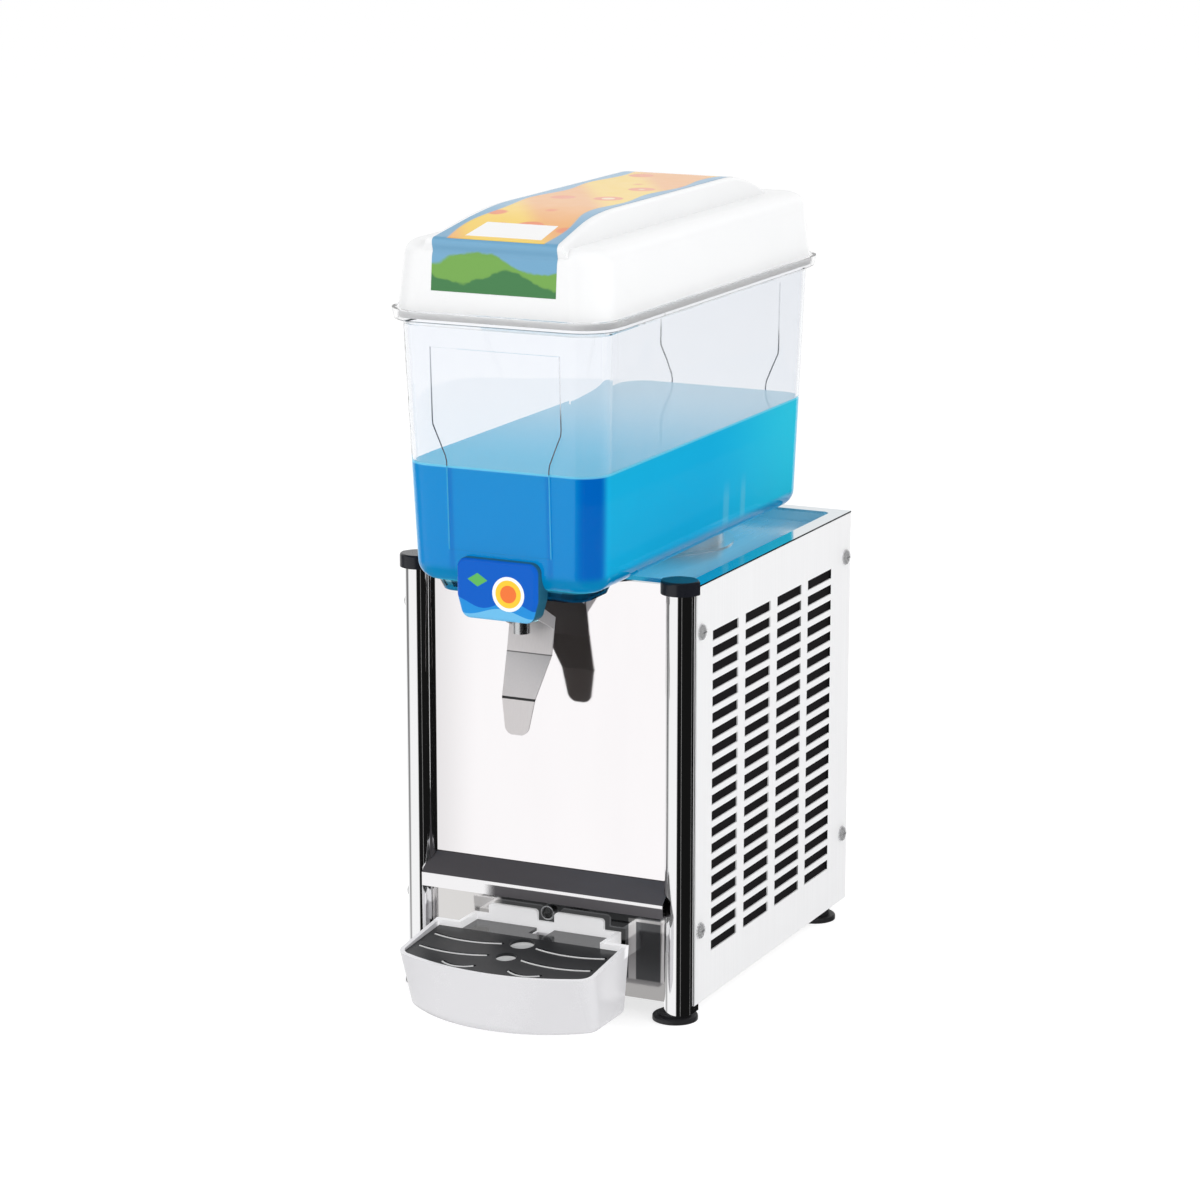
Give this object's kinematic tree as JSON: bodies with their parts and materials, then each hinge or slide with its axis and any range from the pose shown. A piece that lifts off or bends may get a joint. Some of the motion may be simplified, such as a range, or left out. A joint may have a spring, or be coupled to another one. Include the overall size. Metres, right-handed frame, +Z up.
{
  "type": "refrigerated juice dispenser",
  "caption": "Countertop cold drink dispenser with a clear lidded tank over a louvred steel cooling cabinet, a push lever tap and a drip tray.",
  "frame": {"origin": "floor under the middle of the machine's overall width and depth", "axes": "+Z up, -Y towards the front with the tap and drip tray, +X to the right of someone facing the front"},
  "size_m": [0.2594, 0.4504, 0.632],
  "materials": {
    "louvred_steel": "fine brushed stainless sheet",
    "mirror_steel": "mirror polished stainless sheet",
    "deck_steel": "polished stainless pan",
    "black_plastic": "moulded black plastic",
    "foot_rubber": "moulded black rubber",
    "screw_steel": "zinc plated steel",
    "clear_tank": "clear moulded polycarbonate",
    "blue_juice": "clear blue drink",
    "white_lid": "moulded white plastic",
    "white_tray": "moulded white plastic",
    "grey_grille": "moulded dark grey plastic",
    "blue_cover": "moulded blue plastic",
    "teal_valve": "clear tinted moulded plastic",
    "lever_steel": "polished bent stainless plate",
    "nozzle_steel": "turned stainless tube",
    "spring_steel": "stainless spring wire",
    "seal_rubber": "pale food grade rubber",
    "paddle_plastic": "moulded white plastic",
    "magnet_iron": "dark sintered magnet",
    "copper_pipe": "drawn copper tube",
    "insulation_foam": "rigid yellow foam",
    "zinc_plate": "zinc plated steel",
    "motor_case": "dark painted steel case",
    "compressor_black": "black painted steel shell",
    "condenser_fins": "plain aluminium fins",
    "fan_plastic": "moulded black plastic",
    "drain_hose": "pale flexible tube",
    "switch_green": "moulded green plastic",
    "switch_red": "moulded red plastic"
  },
  "bodies": {
    "cabinet": {"left_side_panel": "louvred_steel", "right_side_panel": "louvred_steel", "panel_screws": "screw_steel", "left_corner_post": "mirror_steel", "right_corner_post": "mirror_steel", "post_caps": "black_plastic", "feet": "foot_rubber", "base_pan": "zinc_plate", "front_panel": "mirror_steel", "lower_front_panel": "mirror_steel", "front_ledge": "mirror_steel", "back_panel": "louvred_steel", "top_deck": "deck_steel", "drain_spout": "lever_steel", "drain_tube": "drain_hose", "tray_bracket": "lever_steel", "evaporator_cup": "deck_steel", "evaporator_coil": "copper_pipe", "insulation_slab": "insulation_foam", "motor_mount_plate": "zinc_plate", "stir_motor": "motor_case", "compressor": "compressor_black", "compressor_mounts": "foot_rubber", "condenser": "condenser_fins", "fan_shroud": "motor_case", "fan_motor": "motor_case", "fan_bracket": "zinc_plate", "filter_drier": "copper_pipe", "suction_pipe": "copper_pipe", "discharge_pipe": "copper_pipe", "liquid_pipe": "copper_pipe", "capillary_pipe": "copper_pipe", "switch_bezels": "black_plastic", "thermostat": "motor_case", "cord_gland": "black_plastic"},
    "tank": {"tank": "clear_tank", "tank_seal": "seal_rubber", "juice": "blue_juice", "tap_body": "teal_valve", "tap_nozzle": "nozzle_steel", "tap_cover": "blue_cover", "return_spring": "spring_steel"},
    "lid": {"lid": "white_lid"},
    "push_lever": {"push_lever": "lever_steel", "lever_shaft": "nozzle_steel"},
    "valve_plunger": {"valve_plunger": "paddle_plastic", "valve_seal": "seal_rubber"},
    "drip_tray": {"drip_tray": "white_tray"},
    "drip_grille": {"drip_grille": "grey_grille"},
    "mixing_paddle": {"mixing_paddle": "paddle_plastic"},
    "stir_rotor": {"drive_shaft": "nozzle_steel", "drive_magnet": "magnet_iron"},
    "condenser_fan": {"condenser_fan": "fan_plastic"},
    "cooling_rocker": {"cooling_rocker": "switch_green"},
    "stirring_rocker": {"stirring_rocker": "switch_red"},
    "thermostat_knob": {"thermostat_knob": "black_plastic"}
  },
  "joints": [
    {"name": "tank_lift", "type": "slide", "parent": "cabinet", "child": "tank", "axis": [0, 0, 1], "range_m": [0, 0.14]},
    {"name": "lid_lift", "type": "slide", "parent": "tank", "child": "lid", "axis": [0, 0, 1], "range_m": [0, 0.14]},
    {"name": "lever_push", "type": "hinge", "parent": "tank", "child": "push_lever", "pos_m": [0, -0.1665, 0.331], "axis": [1, 0, 0], "range_deg": [0, 16], "stiffness_Nm_per_rad": 0.4},
    {"name": "plunger_lift", "type": "slide", "parent": "tank", "child": "valve_plunger", "axis": [0, 0, 1], "range_m": [0, 0.0039], "deforming": ["return_spring"]},
    {"name": "tray_slide", "type": "slide", "parent": "cabinet", "child": "drip_tray", "axis": [0, -1, 0], "range_m": [0, 0.1]},
    {"name": "grille_lift", "type": "slide", "parent": "drip_tray", "child": "drip_grille", "axis": [0, 0, 1], "range_m": [0, 0.06]},
    {"name": "paddle_spin", "type": "hinge", "parent": "cabinet", "child": "mixing_paddle", "pos_m": [0, 0.0725, 0.417], "axis": [0, 0, 1], "continuous": true},
    {"name": "rotor_spin", "type": "hinge", "parent": "cabinet", "child": "stir_rotor", "pos_m": [0, 0.0725, 0.392], "axis": [0, 0, 1], "continuous": true},
    {"name": "fan_spin", "type": "hinge", "parent": "cabinet", "child": "condenser_fan", "pos_m": [0.073, 0.0595, 0.1104], "axis": [1, 0, 0], "continuous": true},
    {"name": "cooling_switch", "type": "hinge", "parent": "cabinet", "child": "cooling_rocker", "pos_m": [-0.063, 0.2013, 0.277], "axis": [1, 0, 0], "range_deg": [0, 16]},
    {"name": "stirring_switch", "type": "hinge", "parent": "cabinet", "child": "stirring_rocker", "pos_m": [-0.021, 0.2013, 0.277], "axis": [1, 0, 0], "range_deg": [0, 16]},
    {"name": "thermostat_turn", "type": "hinge", "parent": "cabinet", "child": "thermostat_knob", "pos_m": [0.044, 0.2123, 0.277], "axis": [0, 1, 0], "range_deg": [0, 270]}
  ],
  "couplings": [
    {"joint": "plunger_lift", "follows": "lever_push", "m_per_rad": 0.0135},
    {"joint": "rotor_spin", "follows": "paddle_spin", "ratio": 1}
  ]
}
